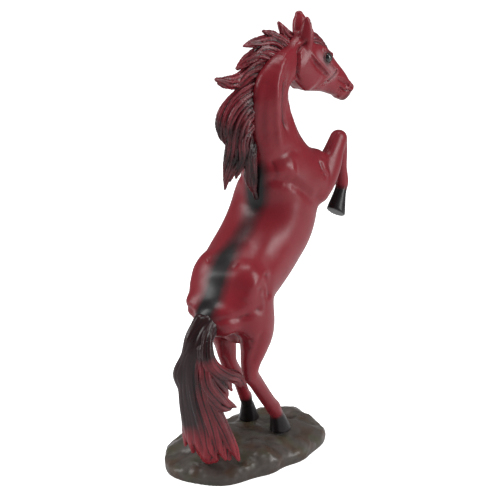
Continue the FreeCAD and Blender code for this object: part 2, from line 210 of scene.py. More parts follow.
def laid_on(clay, places, most=1.5, nudge=0.15, least_slope=0.3):
    """The places moved onto the clay's surface, block by block."""
    places = places.copy()
    blocks = np.floor(places / block_size).astype(int)
    group = np.unique(blocks, axis=0, return_inverse=True)[1].ravel()
    order = np.argsort(group, kind="stable")
    for part in np.split(order, np.flatnonzero(np.diff(group[order])) + 1):
        near = places[part]
        gap = clay.gap(near)
        slope = np.stack([clay.gap(near + nudge * arrow) - gap for arrow in np.eye(3)], -1) / nudge
        step = gap / np.maximum((slope ** 2).sum(1), least_slope)
        places[part] = near - slope * np.clip(step, -most, most)[:, None]
    return places


def finer(places, faces, chosen):
    """The chosen faces cut into four, and their neighbours cut to meet them."""
    edges, numbers = edges_of(faces)
    cut = np.zeros(len(edges), bool)
    cut[numbers[chosen].ravel()] = True
    middle = np.full(len(edges), -1)
    middle[cut] = len(places) + np.arange(cut.sum())
    places = np.concatenate([places, places[edges[cut]].mean(1)])
    kinds = cut[numbers].sum(1)
    turned = faces.copy(), numbers.copy()
    for _ in range(2):
        first, last = cut[turned[1][:, 0]], cut[turned[1][:, 2]]
        wrong = ((kinds == 1) & ~first) | ((kinds == 2) & last)
        for rows in turned:
            rows[wrong] = np.roll(rows[wrong], -1, 1)
    corner, halfway = turned[0], middle[turned[1]]
    a, b, c = corner.T
    ab, bc, ca = halfway.T
    patterns = {
        0: [(a, b, c)],
        1: [(a, ab, c), (ab, b, c)],
        2: [(ab, b, bc), (a, ab, bc), (a, bc, c)],
        3: [(a, ab, ca), (ab, b, bc), (ca, bc, c), (ab, bc, ca)],
    }
    result = [np.stack(face, -1)[kinds == kind] for kind, cuts in patterns.items() for face in cuts]
    return places, np.concatenate(result)


def modelled(clay, step, finer_where=None, rounds=2):
    """The clay's skin, evened out along its surface and laid exactly on it."""
    places, faces = skinned(clay, step)
    if finer_where is not None:
        places, faces = finer(places, faces, finer_where(places[faces].mean(1)))
    edges = edges_of(faces)[0]
    for _ in range(rounds):
        places += 0.5 * (neighbours_mean(places, edges) - places)
        places = laid_on(clay, places)
    return laid_on(clay, places), faces


def hollows_of(places, faces, spread=2, contrast=1.5):
    """How hollow the surface is at each place: half on flat stretches, one in creases, nought on crests."""
    edges = edges_of(faces)[0]
    normals = normals_of(places, faces)
    lengths = np.linalg.norm(places[edges[:, 0]] - places[edges[:, 1]], axis=1)
    bend = ((neighbours_mean(places, edges) - places) * normals).sum(1) / lengths.mean() ** 2
    for _ in range(spread):
        bend = (bend + neighbours_mean(bend[:, None], edges)[:, 0]) / 2
    return np.clip(0.5 + bend * contrast, 0, 1)


def dabbed(places, faces, dabs):
    """The surface with soft lumps and dents: the middle of each, its radius and its height."""
    shifts = np.zeros(len(places))
    for middle, radius, height in dabs:
        share = np.clip(1 - ((places - middle) ** 2).sum(1) / radius ** 2, 0, 1)
        shifts += height * share ** 2
    return places + normals_of(places, faces) * shifts[:, None]


def mottle(places, size, seed):
    """An uneven value between nought and one at each place, in patches of about the given size."""
    start = Vector((seed, 0, 0))
    return np.array([0.5 + 0.75 * noise.noise(Vector(place / size) + start) for place in places]).clip(0, 1)


def patches(places, size, seed, contrast, cut):
    """Patches of about the given size, as a mask that is one in their middles."""
    return np.clip(contrast * mottle(places, size, seed) - cut, 0, 1)


def node(tree, kind, settings=None, **inputs):
    """A shader node; an input that is another node's output is linked, any other is set on its socket."""
    made = tree.nodes.new("ShaderNode" + kind)
    for name, value in (settings or {}).items():
        setattr(made, name, value)
    for name, value in inputs.items():
        socket = made.inputs[int(name[1:])] if name[1:].isdigit() else made.inputs[name.replace("_", " ")]
        if isinstance(value, bpy.types.NodeSocket):
            tree.links.new(value, socket)
        else:
            socket.default_value = value
    return made


def sums(tree, operation, first, second):
    """One sum on values, kept between nought and one."""
    return node(tree, "Math", {"operation": operation, "use_clamp": True}, _0=first, _1=second).outputs[0]


def blend(tree, share, first, second):
    """A share of the second colour mixed into the first."""
    colours = [(*c, 1) if isinstance(c, tuple) else c for c in (first, second)]
    return node(tree, "Mix", {"data_type": "RGBA"}, _0=share, _6=colours[0], _7=colours[1]).outputs[2]


def group(name, inputs, outputs):
    """An empty group of nodes with named values going in and out."""
    tree = bpy.data.node_groups.new(name, "ShaderNodeTree")
    for title, value in inputs.items():
        socket = tree.interface.new_socket(title, in_out="INPUT", socket_type="NodeSocketFloat")
        socket.default_value = value
    for title in outputs:
        tree.interface.new_socket(title, in_out="OUTPUT", socket_type="NodeSocketFloat")
    return tree, tree.nodes.new("NodeGroupInput").outputs, tree.nodes.new("NodeGroupOutput").inputs


def grain(tree, scale, detail=3.0):
    """Fine uneven grain on the model itself, so many grains to the metre."""
    where = node(tree, "TexCoord").outputs["Object"]
    return node(tree, "TexNoise", Vector=where, Scale=scale, Detail=detail).outputs[0]


# Varnish brushed over the paint: it pools a little, so its gloss and its thickness vary.
varnish, given, result = group("brushed varnish", {"Gloss": 0.35, "Unevenness": 0.2}, ["Roughness", "Height"])
pools = sums(varnish, "MULTIPLY", sums(varnish, "SUBTRACT", grain(varnish, 70.0), 0.35), given["Unevenness"])
specks = sums(varnish, "MULTIPLY", grain(varnish, 900.0, 1.0), 0.08)
gloss = sums(varnish, "ADD", sums(varnish, "ADD", pools, given["Gloss"]), specks)
varnish.links.new(gloss, result["Roughness"])
varnish.links.new(grain(varnish, 240.0), result["Height"])

# Thin dark paint wiped off again: it stays in the hollows and misses the crests.
wash, given, result = group("wiped wash", {"Hollow": 0.5, "Reach": 0.5}, ["Dark", "Worn"])
uneven = sums(wash, "MULTIPLY", grain(wash, 160.0), 0.22)
deep = sums(wash, "SUBTRACT", sums(wash, "ADD", given["Hollow"], uneven), given["Reach"])
wash.links.new(sums(wash, "MULTIPLY", deep, 3.2), result["Dark"])
flat_or_high = sums(wash, "SUBTRACT", 0.44, given["Hollow"])
high = sums(wash, "SUBTRACT", flat_or_high, sums(wash, "MULTIPLY", uneven, 0.4))
wash.links.new(sums(wash, "MULTIPLY", high, 4.0), result["Worn"])


class Paint:
    """A painted material: the mask values that its mesh carries, and the groups that it shares."""

    def __init__(self, name):
        self.material = bpy.data.materials.new(name)
        self.material.use_nodes = True
        self.tree = self.material.node_tree
        self.shader = self.tree.nodes["Principled BSDF"]

    def mask(self, name):
        return node(self.tree, "Attribute", {"attribute_name": name}).outputs["Fac"]

    def shared(self, tree, **inputs):
        return node(self.tree, "Group", {"node_tree": tree}, **inputs).outputs

    def ground(self, grains, first, second):
        """The first coat: two colours run into each other, so many grains to the metre."""
        return blend(self.tree, grain(self.tree, grains), first, second)

    def over(self, under, mask, strength, colour):
        """A colour laid over another as far as a mask says."""
        return blend(self.tree, sums(self.tree, "MULTIPLY", mask, strength), under, colour)

    def finish(self, colour, gloss, unevenness, relief, coat=0.0):
        """Colour, uneven gloss and a thin relief of brushed varnish."""
        film = self.shared(varnish, Gloss=gloss, Unevenness=unevenness)
        self.tree.links.new(colour, self.shader.inputs["Base Color"])
        self.tree.links.new(film["Roughness"], self.shader.inputs["Roughness"])
        bump = node(self.tree, "Bump", Strength=relief, Distance=0.0003, Height=film["Height"])
        self.tree.links.new(bump.outputs[0], self.shader.inputs["Normal"])
        self.shader.inputs["Specular IOR Level"].default_value = 0.35
        self.shader.inputs["Coat Weight"].default_value = coat
        self.shader.inputs["Coat Roughness"].default_value = 0.18
        return self.material


def cast(name, places, faces, material, slot, **masks):
    """A finished piece, in metres, with its paint masks written on it."""
    mesh = bpy.data.meshes.new(name)
    mesh.from_pydata((places * mm).tolist(), [], faces.tolist())
    mesh.shade_smooth()
    for mask, values in masks.items():
        mesh.attributes.new(mask, "FLOAT", "POINT").data.foreach_set("value", values.astype(np.float32))
    piece = bpy.data.objects.new(name, mesh)
    bpy.context.collection.objects.link(piece)
    mesh.materials.append(material)
    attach(piece, "root")
    return piece


chance = np.random.default_rng(11)
lumps = []
for _ in range(lump_count):
    turn, reach = chance.uniform(0, 2 * math.pi), math.sqrt(chance.uniform(0, 1.1))
    middle = (rock_middle[0] + rock_half_sizes[0] * reach * math.cos(turn),
              rock_middle[1] + rock_half_sizes[1] * reach * math.sin(turn), chance.uniform(*lump_levels))
    lumps.append((middle, chance.uniform(*lump_radii), chance.choice(lump_heights)))
rock_clay = Clay()
rock_clay.press(Slab())
rock_places, rock_faces = modelled(rock_clay, rock_grid)
above_foot = (rock_places[:, 2] > flat_foot)[:, None]
worn = dabbed(rock_places, rock_faces, lumps)
pebbles = (mottle(worn, pebble_size, 3)[:, None] - 0.5) * pebble_height
worn = worn + normals_of(worn, rock_faces) * pebbles
rock_places = np.where(above_foot, np.minimum(worn, (np.inf, np.inf, rock_top + most_above_top)), rock_places)

stone_dark, stone_light = (0.052, 0.042, 0.037), (0.115, 0.097, 0.085)
moss_green, earth_brown = (0.052, 0.060, 0.024), (0.075, 0.038, 0.022)
wash_black, worn_stone = (0.014, 0.013, 0.012), (0.27, 0.255, 0.225)
stone = Paint("stone paint")
wiped = stone.shared(wash, Hollow=stone.mask("hollow"), Reach=0.58)
colour = stone.ground(38.0, stone_dark, stone_light)
colour = stone.over(colour, stone.mask("moss"), 0.45, moss_green)
colour = stone.over(colour, stone.mask("earth"), 0.6, earth_brown)
colour = stone.over(colour, wiped["Dark"], 0.85, wash_black)
colour = stone.over(colour, wiped["Worn"], 0.5, worn_stone)
stone_paint = stone.finish(colour, gloss=0.24, unevenness=0.5, relief=0.25, coat=0.08)
rock_piece = cast("painted_rock", rock_places, rock_faces, stone_paint, "stone_paint",
                  hollow=hollows_of(rock_places, rock_faces),
                  moss=patches(rock_places, 11, 5, 3, 1.5),
                  earth=patches(rock_places, 9, 7, 3, 1.4))
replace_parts(rock_piece, "rock")


# The horse is cast in resin in several pieces, its seams filled, rubbed down and sprayed over, so that it
# looks like one skin. It is dark red and half glossy, with black airbrushed along its back and on its feet.
# All its rows are in millimetres in the model's frame: place, half depth and half width.
skin_grid = 1.1
trunk_rows = [
    (-43, -2, 124.5, 13, 16), (-27, 1, 130.5, 22.6, 27), (-13, 3, 141, 24.5, 28), (3, 5, 148, 26, 29),
    (20.9, 5.5, 159, 28.2, 29), (34.9, 4.5, 174, 30.2, 29.5), (38.5, 3, 192, 29.5, 28),
    (36, 1, 208, 27, 23.5),
]
neck_rows = [
    (36, 1, 206, 27.5, 22), (29.6, 0, 228, 24.1, 16), (21.1, -1, 249, 19.8, 12.4),
    (17.5, -4, 267, 17.2, 11), (24, -6, 279, 14.3, 9.2), (37, -8, 286, 11.5, 7.6), (48, -9, 291, 10, 7),
]
hind_rows = {
    "right": [
        (-26, -11, 134, 18.4, 11.6), (-20, -15, 122, 19.3, 12.6), (-17.5, -16.5, 109, 15.6, 11),
        (-20, -16, 97, 11.2, 8.8), (-23, -15.6, 88, 8.2, 6.8), (-22.5, -15, 79, 6.4, 5.4),
        (-14.5, -14.4, 69.6, 5.5, 5.1), (-5, -14, 58, 5.3, 5.1), (4.8, -13.2, 47, 5.2, 5.1),
        (10.3, -13, 41, 5.7, 5.4), (14.2, -12.6, 36, 5.1, 4.9),
    ],
    "left": [
        (-24.5, 12, 132, 18.8, 11.6), (-14, 16, 120, 19.4, 12.6), (-9.2, 18.4, 106, 14.8, 10.8),
        (-7.2, 16.8, 93, 9.8, 8), (-8, 14.4, 84, 7.8, 6.6), (-7.3, 13, 76, 6.2, 5.4),
        (0, 13, 66.6, 5.2, 4.9), (8, 14, 54.6, 4.6, 4.5), (14, 14.7, 44.4, 4.6, 4.5),
        (17, 15, 40, 5.1, 4.9), (20, 16, 35, 4.6, 4.4),
    ],
}
hind_hoof_rows = {
    "right": [(17, -12, 32, 5.2, 5.1), (19.6, -12, 26, 6.6, 6.2), (22, -12, 18.5, 8.4, 7.7)],
    "left": [(22, 16.5, 31, 5.2, 5.1), (24, 17.2, 25, 6.6, 6.2), (26, 18, 18.5, 8.4, 7.7)],
}
hock_points = {"right": (-26.2, -15.4, 88), "left": (-14.3, 14.2, 84)}
gaskin_backs = {"right": (-25, -16, 106), "left": (-15, 15, 103)}
fore_rows = {
    "right": [
        (30, -3, 189, 15, 9), (38, -13.5, 199, 17, 11), (51, -18, 203, 15.5, 10),
        (56.5, -19.5, 192.5, 9.6, 8.4),
    ],
    "left": [
        (30, 4, 188, 15, 9), (36, 14.4, 198, 16.8, 11), (47, 18.5, 199, 14, 9.8), (54, 20.5, 190, 11, 8.6),
    ],
}
forearm_rows = {
    "right": [(57.8, -20, 191.5, 8.8, 8), (65.5, -20, 198.5, 10.4, 8.6), (73, -20, 207.5, 10.6, 8.2),
              (80, -20, 217.5, 8.0, 6.8), (85.6, -20, 224.8, 6.8, 6.0)],
    "left": [(54.5, 21, 187, 10.2, 8.2), (60.5, 21.3, 195.5, 10.6, 8.4), (68, 21.6, 204.5, 9.6, 7.6),
             (75, 22, 212.5, 7.4, 6.4), (80, 22, 218, 6.0, 5.4)],
}
cannon_rows = {
    "right": [(86.8, -20, 224.8, 6.2, 5.6), (89.6, -20, 214, 5.3, 4.9), (91, -20, 202, 4.3, 4.2),
              (92.6, -20, 191, 4.9, 4.8), (91, -20, 185, 4.3, 4.3)],
    "left": [(80.6, 22, 218.5, 5.6, 5.0), (83.5, 22, 208, 4.9, 4.6), (86, 22, 197, 4.2, 4.1),
             (87.5, 22, 187, 4.8, 4.7), (85.5, 22, 181.5, 4.2, 4.2)],
}
fore_hoof_rows = {
    "right": [(90, -20, 184, 4.6, 4.6), (87.4, -20, 178.2, 5.8, 5.6), (83.6, -20, 169.8, 8.4, 7.2)],
    "left": [(84.8, 22, 180, 4.6, 4.6), (83, 22, 174.5, 5.8, 5.6), (79.4, 22, 167, 8.2, 7.2)],
}
sole_reach = 14.0
muscles = [
    ((-27, -14, 150), (9, 7, 7), (0.6, 0, 0.8), (0, 1, 0)),
    ((-25, 18, 152), (9, 7.2, 7.2), (0.6, 0, 0.8), (0, 1, 0)),
    ((-41.5, 18, 129.5), (8, 7, 7), (0.5, 0, 0.85), (0, 1, 0)),
    ((50, -3, 213), (11, 13, 9), (0, 1, 0), (1, 0, 0)),
    ((-16, 1, 104.5), (8, 12, 8), (0.8, 0, 0.4), (0, 1, 0)),
]
point_of_shoulder = (58, 16, 212.5)
soft_seam, leg_seam, joint_seam = 8, 5, 1.5
least_half_size = 0.4
strand_waver, waver_turns = 0.4, 7
mean_ridge, fine_share = 0.6, 0.4


def unit(arrow):
    """An arrow one millimetre long."""
    return np.asarray(arrow, float) / np.linalg.norm(arrow)


class Limb:
    """A bent, tapering limb of clay, oval across, through rows of place, half depth and half width."""

    def __init__(self, rows, steps=4, side=(0, 1, 0), square=2.0, strands=0, strand_share=0.0, twist=0.0):
        rows = smooth_rows(rows, steps)
        self.centres, self.sizes = rows[:, :3], np.maximum(rows[:, 3:], least_half_size)
        headings = np.gradient(self.centres, axis=0)
        self.headings = headings / np.linalg.norm(headings, axis=1)[:, None]
        sides = np.array(side) - self.headings * (self.headings @ np.array(side))[:, None]
        self.sides = sides / np.linalg.norm(sides, axis=1)[:, None]
        waver = strand_waver * np.sin(np.linspace(0, waver_turns, len(rows)))
        self.turns = np.linspace(0, twist, len(rows)) + waver
        self.square, self.strands, self.strand_share = square, strands, strand_share
        reach = 1.1 * self.sizes.max(1)[:, None]
        lows, highs = self.centres - reach, self.centres + reach
        self.lows, self.highs = np.minimum(lows[:-1], lows[1:]), np.maximum(highs[:-1], highs[1:])
        self.low, self.high = self.lows.min(0), self.highs.max(0)

    def nearest(self, places):
        """For each place the nearest run of the limb, and the share of the way along that run."""
        low, high = places.min(0) - 2, places.max(0) + 2
        nearest = np.full(len(places), -1)
        shares, least = np.zeros(len(places)), np.full(len(places), np.inf)
        for i in np.flatnonzero(np.all((self.lows <= high) & (self.highs >= low), axis=1)):
            span = self.centres[i + 1] - self.centres[i]
            offset = places - self.centres[i]
            share = np.clip(offset @ (span / (span @ span)), 0, 1)
            distance = ((offset - share[:, None] * span) ** 2).sum(1)
            closer = distance < least
            nearest[closer], shares[closer], least[closer] = i, share[closer], distance[closer]
        return nearest, shares

    def gap(self, places):
        nearest, shares = self.nearest(places)
        if nearest[0] < 0:
            return np.full(len(places), far_away)

        def between(values):
            column = shares[:, None] if values.ndim > 1 else shares
            return values[nearest] + (values[nearest + 1] - values[nearest]) * column

        offset = places - between(self.centres)
        heading, side = between(self.headings), between(self.sides)
        depth, width = between(self.sizes).T
        up = (offset * np.cross(heading, side)).sum(1)
        across = (offset * side).sum(1)
        if self.strands:
            turn = np.arctan2(across / width, up / depth) + between(self.turns)
            coarse = np.abs(np.cos(turn * self.strands / 2))
            fine = np.abs(np.cos(turn * self.strands * 1.5))
            swell = 1 + self.strand_share * (coarse - mean_ridge + fine_share * (fine - mean_ridge))
            depth, width = depth * swell, width * swell
        end = np.minimum(depth, width)
        parts = [np.abs(up) / depth, np.abs(across) / width, np.abs((offset * heading).sum(1)) / end]
        size = sum(part ** self.square for part in parts) ** (1 / self.square) + 1e-4
        slopes = [(part / size) ** (self.square - 1) / radius
                  for part, radius in zip(parts, (depth, width, end))]
        slope = np.sqrt(sum(slope * slope for slope in slopes))
        return (size - 1) / np.maximum(slope, 0.01)


def egg(place, radii, along=(1, 0, 0), side=(0, 1, 0)):
    """An egg of clay, with its radii along, sideways and across both."""
    half = unit(along) * max(radii[0] - min(radii[1:]), 0.05)
    size = (radii[2], radii[1])
    return Limb([[*(np.array(place) - half), *size], [*(np.array(place) + half), *size]], 1, side)


class Block:
    """A block of clay beyond a flat face, to carve a sole with."""

    def __init__(self, place, facing, reach):
        self.place, self.facing = np.array(place, float), unit(facing)
        middle = self.place + self.facing * reach
        self.low, self.high = middle - reach, middle + reach

    def gap(self, places):
        return (self.place - places) @ self.facing


def leg(rows, hoof_rows, sole_faces):
    """A leg of clay with its hoof, whose sole faces the given way."""
    clay = Clay()
    clay.press(Limb(rows))
    hoof = Clay()
    hoof.press(Limb(hoof_rows))
    hoof.carve(Block(hoof_rows[-1][:3], sole_faces, sole_reach), 0.8)
    clay.press(hoof, 0.7)
    return clay


horse = Clay()
horse.press(Limb(trunk_rows, 6, square=2.3))
horse.press(Limb(neck_rows, 6, square=2.1), soft_seam)
for place, radii, along, side in muscles:
    horse.press(egg(place, radii, along, side), soft_seam)
for side, turn in (("right", -1), ("left", 1)):
    hind = leg(hind_rows[side], hind_hoof_rows[side], (0, 0, -1))
    # The point of the hock, with the tendon that runs up to the back of the gaskin.
    hock, back = hock_points[side], gaskin_backs[side]
    hind.press(Limb([(*hock, 2.6, 2.4), (*hind_rows[side][5][:3], 4.5, 4.0)], 1), 2.5)
    hind.press(Limb([(*hock, 2.2, 1.9), (*back, 5, 4)], 1), 3)
    horse.press(hind, leg_seam)
    upper = Clay()
    upper.press(Limb(fore_rows[side]))
    upper.press(Limb(forearm_rows[side]), 2)
    shoulder = (point_of_shoulder[0], turn * point_of_shoulder[1], point_of_shoulder[2])
    upper.press(egg(shoulder, (10, 8, 8), (0.7, 0, 0.7)), leg_seam)
    horse.press(upper, leg_seam)
    horse.press(leg(cannon_rows[side], fore_hoof_rows[side], (-0.6, 0, -0.8)), joint_seam)


# The head is part of the same skin: a wedge with flat cheeks, lips, nostrils and brows, and two hollow ears.
# Its rows lie along the face: reach from the poll, height towards the brow, half depth and half width.
poll = np.array((56, -9.5, 297))
face_way = unit((0.71, -0.17, -0.68))
left_way = unit(np.cross((0, 0, 1), face_way))
brow_way = np.cross(face_way, left_way)
skull_rows = [
    (-6, -7, 12, 7), (3, -9.5, 18, 9.4), (13, -9.3, 18.6, 10), (23, -6.8, 15.8, 9.4),
    (33, -4.4, 12.4, 7.6), (43, -2.5, 10.1, 6.7), (50.5, -1.8, 8.2, 6.3), (55, -1.8, 6.4, 5.4),
]
cheek = (9, 5.4, -14)
cheek_radii = (13, 5.4, 14)
ear_rows = {
    "right": [(49.5, -12.8, 291, 4.6, 4.2), (49.4, -13.6, 298, 5.6, 4.8), (49.6, -14.2, 305, 5.6, 4.4),
              (49, -14.6, 310.5, 4.0, 3.2), (47.6, -14.8, 314.4, 2.0, 1.7)],
    "left": [(55.5, -4.4, 292, 4.4, 4.0), (56, -4.4, 300, 4.8, 4.2), (56.8, -4.2, 307, 5.4, 4.4),
             (57.5, -3.5, 312.2, 4.8, 3.7), (57.6, -2.7, 315.8, 2.8, 2.2)],
}
ear_hollow_way = unit((0.75, -0.65, -0.1))
eye_socket = (17, 9.6, 0.6)


def on_head(reach, left, height):
    """A place on the head: along the face, to its left and towards the brow."""
    return poll + face_way * reach + left_way * left + brow_way * height


def head_row(reach, left, height, depth, width):
    return (*on_head(reach, left, height), depth, width)


head = Clay()
skull = [head_row(reach, 0, height, depth, width) for reach, height, depth, width in skull_rows]
head.press(Limb(skull, side=left_way, square=2.4))
head.press(Limb([head_row(52, 0, -7, 3.6, 4.2), head_row(57, 0, -6, 2.6, 3.2)], 1, left_way), 2)
# Cheeks, the ridges under the eyes, brows, nostrils and the hollows round the eyes.
for turn in (-1, 1):
    head.press(egg(on_head(cheek[0], turn * cheek[1], cheek[2]), cheek_radii, face_way, left_way), 2.5)
    crest = [head_row(3, turn * 9.2, -7.5, 1.8, 1.8), head_row(14, turn * 9.4, -7.5, 1.7, 1.7),
             head_row(28, turn * 7.6, -6.0, 1.2, 1.2)]
    head.press(Limb(crest, side=left_way), 2)
    head.press(egg(on_head(15.5, turn * 7.6, 3.8), (6, 2.0, 2.0), face_way + 0.2 * brow_way, left_way), 2)
    head.press(egg(on_head(53, turn * 5.2, 0.8), (4.2, 2.4, 3.4), face_way, left_way), 1.5)
    head.carve(egg(on_head(54, turn * 8.2, 1.6), (2.2, 1.6, 1.2), face_way + 0.7 * brow_way, left_way), 0.8)
    head.carve(egg(on_head(17, turn * 10.6, 0.5), (5.2, 2.2, 4.2), face_way, left_way), 1.5)
horse.press(head, 3)
# Lids with the bead's socket cut into them, and the ears, hollowed towards the front and the right.
for side, turn in (("right", -1), ("left", 1)):
    lids = Clay()
    lids.press(egg(on_head(17, turn * 7.2, 0.5), (5.2, 3.9, 4.2), face_way, left_way), 1)
    horse.press(lids, 0.8)
    socket = on_head(eye_socket[0], turn * eye_socket[1], eye_socket[2])
    horse.carve(egg(socket, (3.4, 2.9, 2.5), face_way - 0.25 * brow_way, left_way), 0.5)
    ear = Clay()
    ear_side = np.cross((0, 0, 1), ear_hollow_way)
    ear.press(Limb(ear_rows[side], side=ear_side))
    hollow = []
    for x, y, z, depth, width in ear_rows[side]:
        middle = np.array((x, y, z)) + ear_hollow_way * (depth * 0.75 + 0.6)
        hollow.append((*middle, depth * 0.72, width * 0.62))
    tip = (*(np.array(hollow[4][:3]) - (0, 0, 1)), 0.5, 0.5)
    ear.carve(Limb(hollow[:4] + [tip], side=ear_side), 0.6)
    horse.press(ear, 1.5)


# The neck's cords and the folds round the shoulder, flank and buttock are worked into the skin with a tool,
# and so are the lines of the face. Those of the body lie on the right side and are repeated on the left, and
# those of the face lie on both cheeks. A stroke has a depth, raised if negative, a half width and a route.
face_middle = (66, -13, 285)
finer_reach = 46
unrubbed_reach = 42
rub_rounds = 30
trunk_mirror, neck_mirror, neck_level = 6, -2, 225
face_half_width = 10
body_strokes = [
    (-2.0, 3.2, [(35, -11, 295), (23, -13, 291), (14, -14, 281), (11, -14, 268), (13, -13, 254),
                 (16, -13, 240), (19, -14, 229)]),
    (1.9, 2.6, [(23, -16, 284), (20, -15, 270), (21, -14, 260), (23, -13, 249), (27, -14, 238)]),
    (-1.1, 2.8, [(30, -13, 262), (32, -12, 254), (35, -11, 248), (36, -13, 239), (38, -16, 231)]),
    (1.4, 4.0, [(11, -10, 285), (4, -10, 272), (2, -9, 259), (4, -7, 245), (8, -8, 232)]),
    (1.4, 3.8, [(9, -9, 219), (15, -13, 223), (25, -17, 227), (39, -19, 226)]),
    (1.6, 3.8, [(8, -6, 206), (11, -13, 209), (16, -18, 208), (22, -21, 206), (33, -25, 197),
                (48, -24, 187)]),
    (-1.2, 5.0, [(12, -12, 214), (18, -18, 217), (26, -20, 216)]),
    (0.8, 1.9, [(52, -23, 216), (52, -26, 211), (56, -28, 203)]),
    (-0.8, 2.0, [(55, -24, 216), (56, -27, 210), (60, -28, 204)]),
    (1.2, 3.6, [(-15, -22, 154), (-15, -25, 144), (-16, -27, 133)]),
    (-1.2, 5.0, [(-19, -22, 153), (-31, -23, 147), (-39, -20, 138)]),
    (1.2, 4.2, [(-23, -24, 146), (-26, -26, 136), (-30, -26, 127)]),
    (1.5, 3.0, [(-57, -8, 125), (-51, -14, 128), (-42, -19, 127), (-30, -25, 129)]),
    (0.8, 1.8, [(-39, -18, 113), (-32, -19, 108), (-29, -22, 105)]),
    (0.7, 1.8, [(-41, -16, 108), (-35, -17, 103), (-31, -20, 100)]),
    (0.8, 2.6, [(-26, -27, 115), (-27, -23, 100), (-29, -20, 88)]),
    (0.6, 1.2, [(-32, -7, 158), (-30, -8, 159), (-28, -9, 160)]),
]
face_strokes = [
    (2.4, 1.4, [(-8, -4), (-10, -8.5), (-9.7, -12.6), (-6.5, -18), (-3.1, -22.9), (1.5, -26.8), (6.5, -29)]),
    (-1.9, 1.4, [(2, -8), (12, -8), (20, -7.4), (27, -6.4)]),
    (0.6, 1.3, [(4, -11.5), (14, -11.6), (24, -9.6)]),
    (1.4, 0.8, [(33, 4.2), (32.4, -1.7), (30.4, -8.4), (27, -17)]),
    (-0.8, 0.8, [(34.8, 4.0), (34.2, -1.9), (32.2, -8.8), (29, -16.5)]),
    (-0.7, 0.8, [(31.2, 4.2), (30.6, -1.5), (28.6, -8), (25.4, -17)]),
    (-0.8, 0.9, [(36, -2.6), (40, 1.0), (47, 2.0), (52, 3.0)]),
    (0.7, 0.8, [(38, -3.4), (44, -1.2), (50, -0.6)]),
    (1.2, 0.7, [(43, -6.6), (48, -5.8), (53.5, -4.4), (58, -3.4)]),
    (-0.5, 0.8, [(44, -5.0), (49, -4.2), (54, -2.8)]),
    (0.7, 0.9, [(44, -9.4), (49, -8.8)]),
    (1.0, 1.0, [(21, 0), (26, 0.6), (31, 0.2)]),
    (0.6, 0.9, [(13, 5.6), (17, 6.4), (22, 5.2)]),
]


def worked(places, faces, strokes):
    """The surface with tool strokes along lines through the places nearest to their stops."""
    shifts = np.zeros(len(places))
    for depth, width, stops in strokes:
        stops = smooth_rows(stops, 4)[:, :3]
        nearest = [np.argmin(((places - stop) ** 2).sum(1)) for stop in stops]
        route = places[nearest]
        near = np.all((places > route.min(0) - 3 * width) & (places < route.max(0) + 3 * width), axis=1)
        spots = places[near]
        gap, along = np.full(len(spots), np.inf), np.zeros(len(spots))
        for i in range(len(route) - 1):
            run = route[i + 1] - route[i]
            share = np.clip(((spots - route[i]) @ run) / max(run @ run, 1e-6), 0, 1)
            reach = np.linalg.norm(spots - route[i] - share[:, None] * run, axis=1)
            closer = reach < gap
            gap[closer], along[closer] = reach[closer], (i + share[closer]) / (len(route) - 1)
        taper = np.clip(0.15 + 5 * np.minimum(along, 1 - along), 0, 1)
        shifts[near] -= depth * taper * np.exp(-(gap / width) ** 2)
    return places + normals_of(places, faces) * shifts[:, None]


def around_face(middles):
    """Where the skin is modelled more finely: on the head and its ears."""
    return np.linalg.norm(middles - face_middle, axis=1) < finer_reach


def rising(values, start, span, least=0.0, most=1.0):
    """A share that rises from a start over a span, or falls where the span is negative."""
    return np.clip((values - start) / span, least, most)


strokes = list(body_strokes)
for depth, width, stops in body_strokes:
    mirrored = [(x, (trunk_mirror if z < neck_level else neck_mirror) - y, z) for x, y, z in stops]
    strokes.append((depth, width, mirrored))
for turn in (-1, 1):
    for depth, width, stops in face_strokes:
        route = [on_head(reach, turn * face_half_width, height) for reach, height in stops]
        strokes.append((depth, width, route))

# The trunk and the neck are rubbed down smooth and the legs a little, but not the face or the hind hooves.
skin_places, skin_faces = modelled(horse, skin_grid, around_face)
edges = edges_of(skin_faces)[0]
rubbed = skin_places
for _ in range(rub_rounds):
    rubbed = (rubbed + neighbours_mean(rubbed, edges)) / 2
x, y, z = skin_places.T
rubbing = rising(np.linalg.norm(skin_places - face_middle, axis=1), unrubbed_reach, 12)
rubbing *= rising(z, 90, 30, 0.2) * rising(z, 24, 10)
rubbing *= np.where(z < 240, rising(x, 62, -12, 0.2), 1)
skin_places = worked(skin_places + (rubbed - skin_places) * rubbing[:, None], skin_faces, strokes)


# The whole skin is dark red, darker in the folds and paler on the crests. Black is blown along the spine
# and over the hooves and ankles, highest on the left hind leg, and thinly on the forehead and on the muzzle.
# Painted shade lies round the eyes in the same black, and a greyish pink painted highlight lies below them.
spine = [(-66, 3, 104), (-57, 2, 122), (-48, 1, 140), (-38, 2, 156), (-22, 3, 170), (-5, 2, 182),
         (6, 1, 194), (9, 1, 206), (6, 1, 214)]
black_reaches = {"right": 16, "left": 24}
fore_black_reach = 18
hoof_fade, most_beside = 6, 13
coat_dark, coat_light = (0.165, 0.0085, 0.015), (0.255, 0.017, 0.028)
highlight_pink, worn_red = (0.34, 0.18, 0.19), (0.27, 0.04, 0.05)
fold_red, black_and_eye_shade = (0.022, 0.004, 0.005), (0.006, 0.0055, 0.0065)


def away_from(places, stops):
    """How far each place lies from a line."""
    gap = np.full(len(places), np.inf)
    for start, end in zip(np.array(stops[:-1], float), np.array(stops[1:], float)):
        run = end - start
        share = np.clip(((places - start) @ run) / (run @ run), 0, 1)[:, None]
        gap = np.minimum(gap, np.linalg.norm(places - start - share * run, axis=1))
    return gap


def fading(gap, start, reach, most=1.0):
    """A mask that has its start value on a line or place, and loses one over each reach away from it."""
    return np.clip(start - gap / reach, 0, most)


